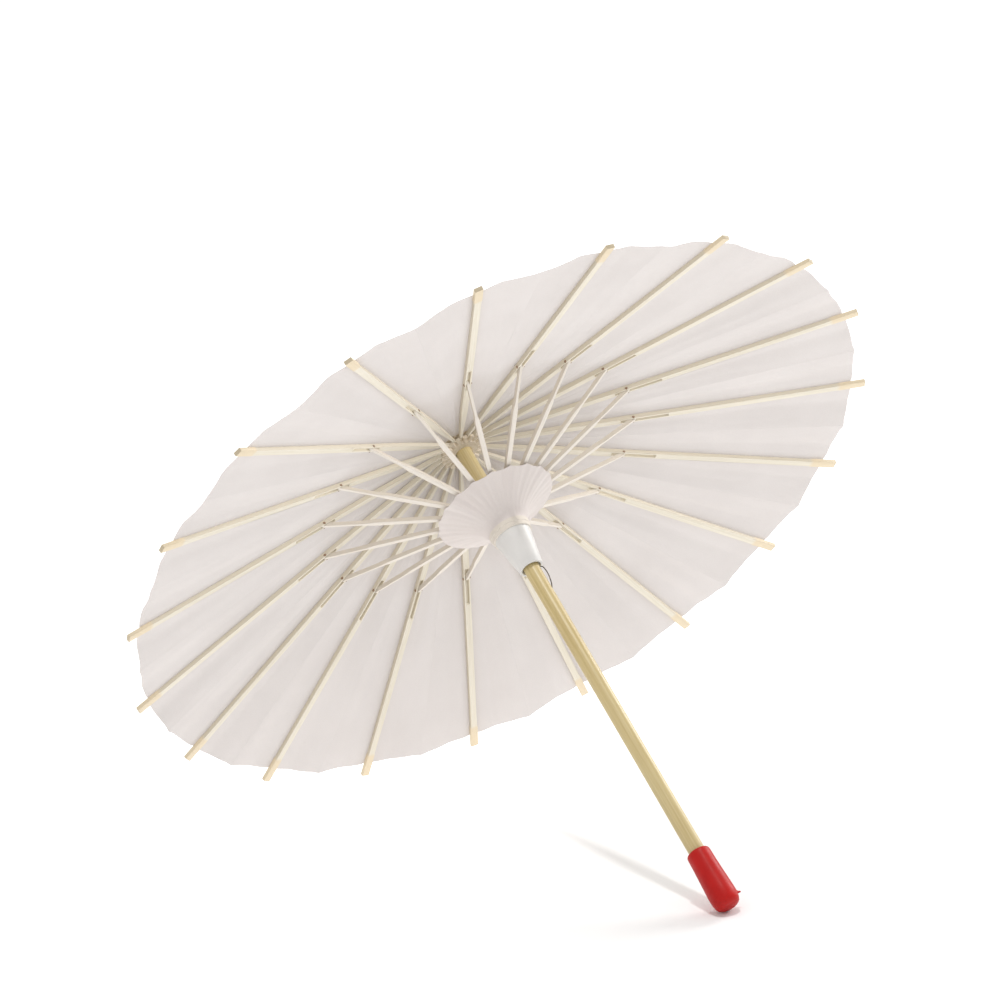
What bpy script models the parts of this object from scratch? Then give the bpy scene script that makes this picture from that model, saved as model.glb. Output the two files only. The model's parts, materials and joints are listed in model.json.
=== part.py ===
"""Oil paper umbrella, open, lying on the floor on two rib tips and the cap of its handle.

The umbrella is built in its own frame: the origin is the centre of the hub's wire ring and +Z runs
up the shaft to the finial. An empty then leans it over, so that it rests on the floor at Z = 0.
A rib mesh starts at its hub pivot and runs along +X, and a stretcher mesh starts at its rib pin.
"""
import math

import bmesh
import bpy
from mathutils import Matrix, Vector

MM = 0.001
GAP = 0.3 * MM
CUTTER_REACH = 5 * MM

# Driving dimensions
RIB_COUNT = 19
TOP_RIB_AZIMUTH = math.radians(270)
RIB_PITCH = 2 * math.pi / RIB_COUNT
RIB_SLOPE = math.radians(15)
PIVOT_RADIUS = 10 * MM
RIB_LENGTH = 197.1 * MM
PIN_REACH = 77.9 * MM
PIN_DROP = 0.6 * MM
HANDLE_END = -282.9 * MM

# Ribs
RIB_WIDTH = 3.4 * MM
RIB_TIP_WIDTH = 4.0 * MM
RIB_TOP = 1.5 * MM
RIB_UNDER = -1.8 * MM
RIB_TIP_UNDER = -1.2 * MM
TONGUE_WIDTH = 1.2 * MM
SLOT_INWARD = 6.5 * MM
SLOT_OUTWARD = 18 * MM
RIB_SLOT_WIDTH = 1.9 * MM
PIN_RADIUS = 0.45 * MM
WIRE_HOLE_RADIUS = 0.75 * MM

# Stretchers
STRETCHER_WIDTH = 2.5 * MM
STRETCHER_TONGUE_WIDTH = 1.3 * MM
STRETCHER_HALF_DEPTH = 1.4 * MM
PIN_HOLE_RADIUS = 0.85 * MM

# Hub, runner and the wire rings that string the pivots
SHAFT_RADIUS = 4 * MM
SLIDING_BORE = 4.4 * MM
FIXED_BORE = SHAFT_RADIUS + GAP
NOTCHED_RADIUS = 12 * MM
NOTCH_WIDTH = TONGUE_WIDTH + 2 * GAP
NOTCH_ROOT = 7.8 * MM
GROOVE_RADIUS = 9.2 * MM
GROOVE_HALF = 0.8 * MM
WIRE_RADIUS = 0.35 * MM
SHAFT_TOP = 16 * MM

# Paper
PAPER_THICKNESS = 0.35 * MM
PAPER_HEIGHT = RIB_TOP + GAP
PAPER_START = 3.2 * MM
PAPER_END = RIB_LENGTH - 6.5 * MM
FAN_RADIUS = 31 * MM
FAN_DROP = 4 * MM

# Runner sleeve, catch and handle cap
BAND_TOP = -54 * MM
BAND_BOTTOM = -58 * MM
SLEEVE_END = -78.5 * MM
SLEEVE_END_RADIUS = 6.1 * MM
SLEEVE_RADIUS = 9.5 * MM
BAND_SEAT_RADIUS = 8.6 * MM
CATCH_AZIMUTH = math.radians(330)
CATCH_ANCHOR = (2.0 * MM, -94.5 * MM)
CATCH_WIRE_RADIUS = 0.3 * MM
CATCH_SLOT_LOW = -96.5 * MM
CATCH_SLOT_HIGH = -79 * MM
CATCH_SLOT_WIDTH = 1.2 * MM
CAP_LENGTH = 31 * MM
CAP_WALL = 6 * MM
CAP_END_RADIUS = 6.6 * MM
CAP_ROUNDING = 3.4 * MM
CAP_RADIUS = 5.9 * MM

# What follows from the driving dimensions
PIN_X = math.sqrt(PIN_REACH ** 2 - PIN_DROP ** 2)
PIN_RADIAL = PIVOT_RADIUS + PIN_X * math.cos(RIB_SLOPE) - PIN_DROP * math.sin(RIB_SLOPE)
PIN_HEIGHT = -PIN_X * math.sin(RIB_SLOPE) - PIN_DROP * math.cos(RIB_SLOPE)
RUNNER_HEIGHT = 2 * PIN_HEIGHT
STRETCHER_SLOPE = math.asin(-PIN_HEIGHT / PIN_REACH)

SHAFT_BAMBOO = ("bamboo_shaft", (0.72, 0.50, 0.26), 0.45)
PALE_WOOD = ("pale_wood", (0.80, 0.68, 0.50), 0.6)
RIB_BAMBOO = ("rib_bamboo", (0.82, 0.72, 0.55), 0.55)
RED_LACQUER = ("red_lacquer", (0.62, 0.02, 0.03), 0.15)
DARK_WIRE = ("dark_wire", (0.08, 0.07, 0.06), 0.4)
OILED_PAPER = ("oiled_paper", (0.85, 0.80, 0.77), 0.6)


def clear_scene():
    for old in list(bpy.data.objects):
        bpy.data.objects.remove(old, do_unlink=True)


def material(name, colour, roughness, metallic=0.0):
    made = bpy.data.materials.get(name) or bpy.data.materials.new(name)
    made.use_nodes = True
    shader = made.node_tree.nodes["Principled BSDF"]
    shader.inputs["Base Color"].default_value = (*colour, 1)
    shader.inputs["Roughness"].default_value = roughness
    shader.inputs["Metallic"].default_value = metallic
    return made


def add_object(name, mesh, look, parent, sharp_angle=35):
    made = bpy.data.objects.new(name, mesh)
    bpy.context.scene.collection.objects.link(made)
    mesh.materials.clear()
    mesh.materials.append(material(*look))
    mesh.shade_smooth()
    mesh.set_sharp_from_angle(angle=math.radians(sharp_angle))
    made.parent = parent
    return made


def mesh_from(name, vertices, faces):
    """A mesh with its faces pointing out."""
    made = bpy.data.meshes.new(name)
    made.from_pydata(vertices, [], faces)
    work = bmesh.new()
    work.from_mesh(made)
    bmesh.ops.recalc_face_normals(work, faces=work.faces)
    work.to_mesh(made)
    work.free()
    return made


def turned(name, outline, steps):
    """Turn a closed outline of (radius, height) points about Z. Points at radius 0 are poles."""
    vertices = []
    rows = []
    for radius, height in outline:
        if radius == 0:
            rows.append([len(vertices)] * steps)
            vertices.append((0, 0, height))
            continue
        rows.append(list(range(len(vertices), len(vertices) + steps)))
        for step in range(steps):
            angle = 2 * math.pi * step / steps
            vertices.append((radius * math.cos(angle), radius * math.sin(angle), height))
    faces = []
    for row, following in zip(rows, rows[1:] + rows[:1]):
        for step in range(steps):
            after = (step + 1) % steps
            corners = [row[step], row[after], following[after], following[step]]
            corners = list(dict.fromkeys(corners))
            if len(corners) > 2:
                faces.append(corners)
    return mesh_from(name, vertices, faces)


def bar(name, stations):
    """A bar of rectangular sections (x, width, low z, high z), one after the other along X."""
    vertices = []
    for x, width, low, high in stations:
        half = width / 2
        vertices += [(x, -half, low), (x, half, low), (x, half, high), (x, -half, high)]
    faces = [(0, 1, 2, 3)]
    for start in range(0, len(vertices) - 4, 4):
        for side in range(4):
            after = (side + 1) % 4
            faces.append((start + side, start + after, start + 4 + after, start + 4 + side))
    last = len(vertices) - 4
    faces.append((last, last + 1, last + 2, last + 3))
    return mesh_from(name, vertices, faces)


def box_mesh(low, high):
    (x0, y0, z0), (x1, y1, z1) = low, high
    return bar("box", [(x0, y1 - y0, z0, z1), (x1, y1 - y0, z0, z1)])


def cross_cylinder(x, z, radius, length, sides=8):
    """A cylinder along Y through (x, z)."""
    work = bmesh.new()
    placing = Matrix.Translation((x, 0, z)) @ Matrix.Rotation(math.radians(90), 4, "X")
    bmesh.ops.create_cone(work, cap_ends=True, segments=sides, radius1=radius, radius2=radius,
                          depth=length, matrix=placing)
    made = bpy.data.meshes.new("cross_cylinder")
    work.to_mesh(made)
    work.free()
    return made


def combined(base, tool, operation):
    """The mesh left after an exact Boolean of two meshes."""
    holder = bpy.data.objects.new("holder", base)
    cutter = bpy.data.objects.new("cutter", tool)
    for item in (holder, cutter):
        bpy.context.scene.collection.objects.link(item)
    modifier = holder.modifiers.new("combine", "BOOLEAN")
    modifier.operation = operation
    modifier.object = cutter
    modifier.solver = "EXACT"
    graph = bpy.context.evaluated_depsgraph_get()
    made = bpy.data.meshes.new_from_object(holder.evaluated_get(graph))
    made.name = base.name + "_" + operation.lower()
    for item in (holder, cutter):
        bpy.data.objects.remove(item, do_unlink=True)
    return made


def joined(meshes):
    """One mesh holding copies of several."""
    work = bmesh.new()
    for mesh in meshes:
        work.from_mesh(mesh)
    made = bpy.data.meshes.new("joined")
    work.to_mesh(made)
    work.free()
    return made


def azimuth_of(index):
    """Rib 0 is the topmost one as the umbrella lies, and the others follow at equal steps."""
    return TOP_RIB_AZIMUTH + index * RIB_PITCH


def polar(radius, azimuth, height):
    return Vector((radius * math.cos(azimuth), radius * math.sin(azimuth), height))


def rib_mesh():
    """A bamboo rib: a thin tongue at the hub, a through slot at the pin, a wider square tip."""
    stations = [
        (-1.7 * MM, TONGUE_WIDTH, -0.9 * MM, 0.7 * MM),
        (-1.1 * MM, TONGUE_WIDTH, -1.5 * MM, 1.2 * MM),
        (-0.2 * MM, TONGUE_WIDTH, RIB_UNDER, RIB_TOP - 0.1 * MM),
        (6 * MM, TONGUE_WIDTH, RIB_UNDER, RIB_TOP),
        (42 * MM, RIB_WIDTH, RIB_UNDER, RIB_TOP),
        (120 * MM, RIB_WIDTH, RIB_UNDER, RIB_TOP),
        (182 * MM, RIB_WIDTH, RIB_TIP_UNDER - 0.2 * MM, RIB_TOP),
        (184 * MM, RIB_TIP_WIDTH, RIB_TIP_UNDER - 0.2 * MM, RIB_TOP),
        (RIB_LENGTH, RIB_TIP_WIDTH, RIB_TIP_UNDER, RIB_TOP),
    ]
    mesh = bar("rib", stations)
    slot_half = RIB_SLOT_WIDTH / 2
    slot = box_mesh(
        (PIN_X - SLOT_INWARD, -slot_half, -CUTTER_REACH),
        (PIN_X + SLOT_OUTWARD, slot_half, CUTTER_REACH),
    )
    mesh = combined(mesh, slot, "DIFFERENCE")
    wire_hole = cross_cylinder(0, 0, WIRE_HOLE_RADIUS, 2 * CUTTER_REACH)
    mesh = combined(mesh, wire_hole, "DIFFERENCE")
    pin = cross_cylinder(PIN_X, -PIN_DROP, PIN_RADIUS, RIB_WIDTH + 0.2 * MM)
    return combined(mesh, pin, "UNION")


def stretcher_mesh():
    """A stretcher from its rib pin at X = 0 to the runner's wire ring at X = PIN_REACH."""
    half = STRETCHER_HALF_DEPTH
    stations = [
        (-1.4 * MM, STRETCHER_TONGUE_WIDTH, -0.6 * MM, 0.6 * MM),
        (-0.9 * MM, STRETCHER_TONGUE_WIDTH, -1.1 * MM, 1.1 * MM),
        (0, STRETCHER_TONGUE_WIDTH, -half, half),
        (20 * MM, STRETCHER_TONGUE_WIDTH, -half, half),
        (25 * MM, STRETCHER_WIDTH, -half, half),
        (52 * MM, STRETCHER_WIDTH, -half, half),
        (PIN_REACH - 6 * MM, TONGUE_WIDTH, RIB_UNDER, half),
        (PIN_REACH, TONGUE_WIDTH, RIB_UNDER, half),
        (PIN_REACH + 1.1 * MM, TONGUE_WIDTH, -1.4 * MM, 1.1 * MM),
        (PIN_REACH + 1.7 * MM, TONGUE_WIDTH, -0.8 * MM, 0.6 * MM),
    ]
    mesh = bar("stretcher", stations)
    holes = joined([
        cross_cylinder(0, 0, PIN_HOLE_RADIUS, 2 * CUTTER_REACH),
        cross_cylinder(PIN_REACH, 0, WIRE_HOLE_RADIUS, 2 * CUTTER_REACH),
    ])
    return combined(mesh, holes, "DIFFERENCE")


def notches(low, high):
    """Radial slots, one for each rib, as one cutter."""
    slot = box_mesh((NOTCH_ROOT, -NOTCH_WIDTH / 2, low), (NOTCHED_RADIUS + 3 * MM, NOTCH_WIDTH / 2, high))
    slots = []
    for index in range(RIB_COUNT):
        turned_slot = slot.copy()
        turned_slot.transform(Matrix.Rotation(azimuth_of(index), 4, "Z"))
        slots.append(turned_slot)
    return joined(slots)


def groove(height):
    """The part of a notched block's outline where the wire ring lies, from bottom to top."""
    return [
        (NOTCHED_RADIUS, height - GROOVE_HALF),
        (GROOVE_RADIUS, height - GROOVE_HALF),
        (GROOVE_RADIUS, height + GROOVE_HALF),
        (NOTCHED_RADIUS, height + GROOVE_HALF),
    ]


def hub_mesh():
    outline = [(FIXED_BORE, -2.6 * MM), (NOTCHED_RADIUS, -2.6 * MM)]
    outline += groove(0)
    outline += [
        (NOTCHED_RADIUS, 3.8 * MM),
        (11 * MM, 6.4 * MM),
        (6.5 * MM, 9 * MM),
        (FIXED_BORE, 9 * MM),
    ]
    block = turned("upper_hub", outline, 2 * RIB_COUNT)
    return combined(block, notches(-CUTTER_REACH, 2.4 * MM), "DIFFERENCE")


def runner_mesh():
    """A notched collar on top, a neck, and a sleeve that narrows to the catch."""
    pivot = RUNNER_HEIGHT
    outline = [
        (SLIDING_BORE, SLEEVE_END),
        (SLEEVE_END_RADIUS, SLEEVE_END),
        (SLEEVE_RADIUS, BAND_BOTTOM),
        (SLEEVE_RADIUS, BAND_BOTTOM + 1 * MM),
        (BAND_SEAT_RADIUS, BAND_BOTTOM + 1 * MM),
        (BAND_SEAT_RADIUS, BAND_TOP + GAP),
        (10.4 * MM, BAND_TOP + GAP),
        (NOTCHED_RADIUS, pivot - 5 * MM),
    ]
    outline += groove(pivot)
    outline += [(NOTCHED_RADIUS, pivot + 2.6 * MM), (SLIDING_BORE, pivot + 2.6 * MM)]
    block = turned("runner", outline, 2 * RIB_COUNT)
    return combined(block, notches(pivot - 2.6 * MM, pivot + CUTTER_REACH), "DIFFERENCE")


def ring_outline(radius, height, wire, sides=6):
    points = []
    for side in range(sides):
        angle = 2 * math.pi * side / sides
        points.append((radius + wire * math.cos(angle), height + wire * math.sin(angle)))
    return points


def band_mesh():
    """A paper band wound round the runner above its sleeve."""
    inner = BAND_SEAT_RADIUS + GAP
    low = BAND_BOTTOM + 1 * MM + GAP
    outline = [
        (inner, low),
        (10.2 * MM, low),
        (10.4 * MM, BAND_TOP - 1 * MM),
        (10.0 * MM, BAND_TOP),
        (inner, BAND_TOP),
    ]
    return turned("runner_band", outline, 32)


def shaft_mesh():
    """A dowel with a slot where the catch folds in."""
    low = HANDLE_END + CAP_WALL + GAP
    outline = [(0, low), (SHAFT_RADIUS, low), (SHAFT_RADIUS, SHAFT_TOP), (0, SHAFT_TOP)]
    dowel = turned("shaft", outline, 32)
    slot_half = CATCH_SLOT_WIDTH / 2
    slot = box_mesh((-SHAFT_RADIUS / 2, -slot_half, CATCH_SLOT_LOW),
                    (2 * SHAFT_RADIUS, slot_half, CATCH_SLOT_HIGH))
    slot.transform(Matrix.Rotation(CATCH_AZIMUTH, 4, "Z"))
    return combined(dowel, slot, "DIFFERENCE")


def finial_mesh():
    """A turned knob with a blind bore over the top of the shaft."""
    low = 10.3 * MM
    top = 24 * MM
    outline = [(0, SHAFT_TOP + GAP), (FIXED_BORE, SHAFT_TOP + GAP), (FIXED_BORE, low), (5.8 * MM, low)]
    outline += [(6.2 * MM, low + 1.5 * MM), (5.4 * MM, low + 3 * MM)]
    for step in range(6):
        angle = math.radians(90) * step / 6
        outline.append((5.4 * MM * math.cos(angle), top - 6 * MM + 6 * MM * math.sin(angle)))
    outline.append((0, top))
    return turned("finial", outline, 24)


def cap_outline():
    """The handle cap: slightly flared, with a rounded end, a small flat foot and a blind bore."""
    top = HANDLE_END + CAP_LENGTH
    outline = [(0, HANDLE_END)]
    for step in range(7):
        angle = math.radians(-90 + 15 * step)
        radius = CAP_END_RADIUS - CAP_ROUNDING + CAP_ROUNDING * math.cos(angle)
        outline.append((radius, HANDLE_END + CAP_ROUNDING + CAP_ROUNDING * math.sin(angle)))
    outline += [
        (CAP_RADIUS, top - 10 * MM),
        (CAP_RADIUS, top - 0.8 * MM),
        (CAP_RADIUS - 0.5 * MM, top),
        (FIXED_BORE, top),
        (FIXED_BORE, HANDLE_END + CAP_WALL),
        (0, HANDLE_END + CAP_WALL),
    ]
    return outline


def gore_sheet(name, rows):
    """A paper shell of flat gores. rows are (radius, low z, high z) on a rib line, going outwards."""
    vertices = []
    stations = 2 * RIB_COUNT
    for radius, low, high in rows:
        for step in range(stations):
            azimuth = TOP_RIB_AZIMUTH + step * RIB_PITCH / 2
            reach = radius * math.cos(RIB_PITCH / 2) if step % 2 else radius
            vertices.append(polar(reach, azimuth, low))
            vertices.append(polar(reach, azimuth, high))
    faces = []
    width = 2 * stations
    for step in range(stations):
        here = 2 * step
        after = 2 * ((step + 1) % stations)
        for row in range(len(rows) - 1):
            start = row * width
            for side in (0, 1):
                faces.append((start + here + side, start + after + side,
                              start + width + after + side, start + width + here + side))
        for start in (0, (len(rows) - 1) * width):
            faces.append((start + here, start + after, start + after + 1, start + here + 1))
    return mesh_from(name, vertices, faces)


def canopy_mesh():
    rows = []
    for step in range(4):
        along = PAPER_START + (PAPER_END - PAPER_START) * step / 3
        radius = PIVOT_RADIUS + along * math.cos(RIB_SLOPE)
        low = PAPER_HEIGHT / math.cos(RIB_SLOPE) - along * math.sin(RIB_SLOPE)
        rows.append((radius, low, low + PAPER_THICKNESS))
    return gore_sheet("canopy", rows)


def crown_mesh():
    """The paper crown glued over the hub and the canopy's inner edge."""
    under = [
        (5.0 * MM, 9.4 * MM),
        (7.2 * MM, 9.4 * MM),
        (12.7 * MM, 6.8 * MM),
        (14.5 * MM, 3.2 * MM),
        (24.5 * MM, -0.7 * MM),
    ]
    over = []
    for radius, height in reversed(under):
        over.append((radius + 0.3 * MM, height + 0.4 * MM))
    return turned("crown_paper", under + over, 2 * RIB_COUNT)


def fan_mesh():
    """The paper fan from the runner's collar out under the stretchers."""
    pivot_line = RUNNER_HEIGHT + (FAN_RADIUS - PIVOT_RADIUS) * math.tan(STRETCHER_SLOPE)
    under_stretcher = pivot_line + (RIB_UNDER - GAP) / math.cos(STRETCHER_SLOPE)
    rim = under_stretcher - PAPER_THICKNESS - GAP
    start = NOTCHED_RADIUS + 2 * GAP
    centre = RUNNER_HEIGHT - FAN_DROP
    rows = []
    for step in range(3):
        radius = start + (FAN_RADIUS - start) * step / 2
        low = centre + (rim - centre) * step / 2
        rows.append((radius, low, low + PAPER_THICKNESS))
    return gore_sheet("fan_paper", rows)


def tube(name, points, radius, sides=6):
    """A round wire through the points, which lie in the XZ plane."""
    vertices = []
    for index, (x, z) in enumerate(points):
        before = points[max(index - 1, 0)]
        after = points[min(index + 1, len(points) - 1)]
        along = Vector((after[0] - before[0], after[1] - before[1])).normalized()
        for side in range(sides):
            angle = 2 * math.pi * side / sides
            across = radius * math.cos(angle)
            vertices.append((x + across * along.y, radius * math.sin(angle), z - across * along.x))
    faces = [tuple(range(sides)), tuple(range(len(vertices) - sides, len(vertices)))]
    for start in range(0, len(vertices) - sides, sides):
        for side in range(sides):
            after = (side + 1) % sides
            faces.append((start + side, start + after, start + sides + after, start + sides + side))
    return mesh_from(name, vertices, faces)


def catch_mesh():
    """The spring wire's bow, drawn from its anchor: out of the slot, round the nose and back in."""
    bow = [(0, 0), (0.7, 1.2), (4.5, 10.3), (4.75, 11.6), (4.3, 12.8), (2.2, 13.9), (0.2, 13.9)]
    return tube("catch_wire", [(x * MM, z * MM) for x, z in bow], CATCH_WIRE_RADIUS)


def add_ribs(parent):
    shared_rib = rib_mesh()
    shared_stretcher = stretcher_mesh()
    for index in range(RIB_COUNT):
        azimuth = azimuth_of(index)
        rib = add_object(f"rib_{index + 1:02d}", shared_rib, RIB_BAMBOO, parent)
        rib.location = polar(PIVOT_RADIUS, azimuth, 0)
        rib.rotation_euler = (0, RIB_SLOPE, azimuth)
        stretcher = add_object(f"stretcher_{index + 1:02d}", shared_stretcher, RIB_BAMBOO, parent)
        stretcher.location = polar(PIN_RADIAL, azimuth, PIN_HEIGHT)
        stretcher.rotation_euler = (0, STRETCHER_SLOPE, azimuth + math.pi)


def add_centre(parent):
    add_object("shaft", shaft_mesh(), SHAFT_BAMBOO, parent)
    add_object("upper_hub", hub_mesh(), PALE_WOOD, parent)
    add_object("finial", finial_mesh(), PALE_WOOD, parent)
    add_object("handle_cap", turned("handle_cap", cap_outline(), 32), RED_LACQUER, parent)
    hub_ring = turned("hub_wire_ring", ring_outline(PIVOT_RADIUS, 0, WIRE_RADIUS), 2 * RIB_COUNT)
    add_object("hub_wire_ring", hub_ring, DARK_WIRE, parent)


def add_runner(parent):
    pivot = RUNNER_HEIGHT
    add_object("runner", runner_mesh(), PALE_WOOD, parent)
    add_object("runner_band", band_mesh(), OILED_PAPER, parent)
    ring = turned("runner_wire_ring", ring_outline(PIVOT_RADIUS, pivot, WIRE_RADIUS), 2 * RIB_COUNT)
    add_object("runner_wire_ring", ring, DARK_WIRE, parent)
    catch = add_object("catch_wire", catch_mesh(), DARK_WIRE, parent)
    catch.location = polar(CATCH_ANCHOR[0], CATCH_AZIMUTH, CATCH_ANCHOR[1])
    catch.rotation_euler = (0, 0, CATCH_AZIMUTH)


def add_paper(parent):
    add_object("canopy", canopy_mesh(), OILED_PAPER, parent, sharp_angle=5)
    add_object("crown_paper", crown_mesh(), OILED_PAPER, parent, sharp_angle=20)
    add_object("fan_paper", fan_mesh(), OILED_PAPER, parent, sharp_angle=5)


def reach_down(points, shaft_angle):
    """How far the points reach towards the floor when the shaft stands at this angle to it."""
    down = Vector((0, math.cos(shaft_angle), -math.sin(shaft_angle)))
    return max(point.dot(down) for point in points)


def resting_angle(rib_points, cap_points):
    """The shaft's angle to the floor at which rib tips and handle cap touch it together."""
    flat, steep = math.radians(20), math.radians(70)
    for _ in range(50):
        middle = (flat + steep) / 2
        if reach_down(rib_points, middle) > reach_down(cap_points, middle):
            flat = middle
        else:
            steep = middle
    return (flat + steep) / 2


def points_of(item):
    """The corners of a part in the umbrella's own frame."""
    placing = item.matrix_basis
    return [placing @ corner.co for corner in item.data.vertices]


def lay_on_floor(leaning):
    """Lean the umbrella onto the floor, with the middle of its bottom at the origin."""
    lowest_rib = bpy.data.objects[f"rib_{RIB_COUNT // 2 + 1:02d}"]
    angle = resting_angle(points_of(lowest_rib), points_of(bpy.data.objects["handle_cap"]))
    turn = Matrix.Rotation(angle - math.radians(90), 3, "X")
    corners = []
    for item in leaning.children:
        corners += [turn @ corner for corner in points_of(item)]
    lows = [min(corner[axis] for corner in corners) for axis in range(3)]
    highs = [max(corner[axis] for corner in corners) for axis in range(3)]
    leaning.rotation_euler = (angle - math.radians(90), 0, 0)
    leaning.location = (-(lows[0] + highs[0]) / 2, -(lows[1] + highs[1]) / 2, -lows[2])


def main():
    clear_scene()
    leaning = bpy.data.objects.new("leaning_umbrella", None)
    bpy.context.scene.collection.objects.link(leaning)
    add_centre(leaning)
    add_ribs(leaning)
    add_runner(leaning)
    add_paper(leaning)
    lay_on_floor(leaning)
    bpy.context.view_layer.update()


main()
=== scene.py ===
"""Looks of the oil paper umbrella: paper, bamboo, lacquer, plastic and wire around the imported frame.

Shapes are worked out in the umbrella's own frame, with its origin at the middle of the hub's wire
ring and +Z up the shaft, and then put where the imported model's joints say that the umbrella lies.
Lengths are in metres.
"""
import json
import math

import bmesh
import bpy
from mathutils import Matrix, Vector, noise

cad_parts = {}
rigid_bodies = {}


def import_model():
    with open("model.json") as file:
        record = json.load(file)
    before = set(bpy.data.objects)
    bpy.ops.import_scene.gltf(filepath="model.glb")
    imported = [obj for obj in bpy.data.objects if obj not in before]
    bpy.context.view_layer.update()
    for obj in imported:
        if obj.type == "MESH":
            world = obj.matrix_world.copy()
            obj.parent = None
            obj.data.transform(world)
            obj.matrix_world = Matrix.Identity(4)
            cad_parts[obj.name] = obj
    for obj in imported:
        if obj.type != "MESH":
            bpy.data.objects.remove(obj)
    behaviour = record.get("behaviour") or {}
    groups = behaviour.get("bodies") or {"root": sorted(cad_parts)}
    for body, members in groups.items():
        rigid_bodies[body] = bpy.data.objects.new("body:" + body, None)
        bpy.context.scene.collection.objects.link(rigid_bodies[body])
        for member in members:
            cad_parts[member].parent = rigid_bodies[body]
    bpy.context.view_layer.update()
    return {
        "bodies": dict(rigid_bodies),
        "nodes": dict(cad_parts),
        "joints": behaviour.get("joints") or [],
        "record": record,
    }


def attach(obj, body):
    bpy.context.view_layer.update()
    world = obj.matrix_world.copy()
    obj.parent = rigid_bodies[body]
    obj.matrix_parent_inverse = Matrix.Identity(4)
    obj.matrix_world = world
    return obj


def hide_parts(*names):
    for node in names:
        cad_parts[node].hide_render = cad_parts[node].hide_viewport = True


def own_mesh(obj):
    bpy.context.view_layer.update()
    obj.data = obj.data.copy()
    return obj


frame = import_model()

MM = 0.001

# Camera: where the view is taken from, and the point that it looks at
CAMERA_AZIMUTH = math.radians(27.61)
CAMERA_ELEVATION = math.radians(14.37)
CAMERA_ROLL = math.radians(6.15)
CAMERA_DISTANCE = 1.8067
CAMERA_TARGET = (0.01122, 0.0518, 0.15861)
CAMERA_LENS = 131.1

# Studio table: it glows softly everywhere but round the handle's foot, where the shadow falls
SHADE_CENTRE = (0, -0.12, 0)
SHADE_NEAR = 0.05
SHADE_REACH = 0.22
GLOW_NEAR = 0.0
GLOW_AWAY = 0.46
SHADOW_PIECES = ("shaft", "cap", "runner", "band", "catch", "stretcher", "fan")
FLOOR_REACH = 30

# Studio lights, aimed at the middle of the umbrella
LIGHT_TARGET = (0, 0.05, 0.15)
SKY_COLOUR = (1, 0.995, 0.985, 1)
SKY_STRENGTH = 0.67
SOFTBOX_PLACE = (1.9, 0.2, 1.0)
SOFTBOX_SIZE = 0.9
SOFTBOX_POWER = 20
TOP_LAMP_PLACE = (0.0, -0.25, 2.4)
TOP_LAMP_SIZE = 0.2
TOP_LAMP_POWER = 17

# The umbrella's frame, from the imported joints
RIB_SLOPE = math.radians(15)
RIB_LENGTH = 197.1 * MM
RIB_TOP = 1.0 * MM
RIB_HALF_WIDTH = 1.7 * MM
PIN_LINE = -0.6 * MM
SLOT_MIDDLE = 5.75 * MM
SLOT_LENGTH = 24.3 * MM
SLOT_WIDTH = 1.86 * MM
WEB_HEIGHT = 0.6 * MM
WEB_THICKNESS = 0.5 * MM
TIP_BARE_FROM = 182.5 * MM
RIB_TOP_KEEP = 0.67
RIB_UNDERSIDE_KEEP = 0.5
STRETCHER_KEEP = 0.75

# Paper
PAPER_THICKNESS = 0.16 * MM
PAPER_LIFT = RIB_TOP + 0.16 * MM
PAPER_START = 3.4 * MM
PAPER_END = 190.4 * MM
STRIP_HALF = 1.8 * MM
STRIP_HALF_AT_HUB = 1.45 * MM
STRIP_WIDENING = 0.012
STRIP_EDGE_LIFT = 0.1 * MM
STRIP_MIDDLE_LIFT = 0.14 * MM
WING_ROWS = 44
WING_COLUMNS = 14
RIM_ROUND = 2.5 * MM
RIM_CUSP = 0.9 * MM
RIM_PINCH = 1.3 * MM
RIM_RIPPLE = 0.5 * MM
FOLD_DEPTH = 1.7
FOLD_DEPTH_SPREAD = 0.5
SHOULDER_RISE = 0.55 * MM
WRINKLE_RISE = 0.55 * MM
FINE_WRINKLE_RISE = 0.16 * MM
CROWN_COLUMNS = 16
CROWN_MIDDLE_THICKNESS = 0.25 * MM
CROWN_SKIRT_THICKNESS = 0.22 * MM
FAN_INNER = 10.6 * MM
FAN_OUTER = 31 * MM
FAN_NECK_HEIGHT = -54.2 * MM
FAN_SPLIT = 12.6 * MM
FAN_LAP = 0.1 * MM
FAN_UNDER_PIVOTS = 2.6 * MM
FAN_PLEAT = 0.3 * MM
FAN_SAG = 0.35 * MM
FAN_RIM_WAVE = 0.25 * MM
FAN_RIM_EDGE = FAN_OUTER - 0.1 * MM
FAN_NECK_ROWS = 6
FAN_ROWS = 14
FAN_COLUMNS = 16


def joint_named(name):
    for joint in frame["joints"]:
        if joint["name"] == name:
            return joint
    raise KeyError(name)


def rib_joint(index):
    return joint_named("fold" if index == 0 else f"rib_{index + 1:02d}_fold")


RIB_COUNT = sum(1 for body in frame["bodies"] if body.startswith("rib_"))
RIB_PITCH = 2 * math.pi / RIB_COUNT
PIVOTS = [Vector(rib_joint(index)["pos_m"]) for index in range(RIB_COUNT)]
HUB = sum(PIVOTS, Vector()) / RIB_COUNT
SHAFT_UP = -Vector(frame["record"]["mounts"][0]["axis"]).normalized()
PIVOT_RADIUS = (PIVOTS[0] - HUB).length
ACROSS = Vector((1, 0, 0))
UMBRELLA = Matrix((ACROSS, SHAFT_UP.cross(ACROSS), SHAFT_UP)).transposed().to_4x4()
UMBRELLA.translation = HUB
INTO_UMBRELLA = UMBRELLA.inverted()


def azimuth_of(index):
    """The direction of a rib round the shaft, in the umbrella's frame."""
    return math.radians(270) + index * RIB_PITCH


def polar(radius, azimuth, height):
    return Vector((radius * math.cos(azimuth), radius * math.sin(azimuth), height))


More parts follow.
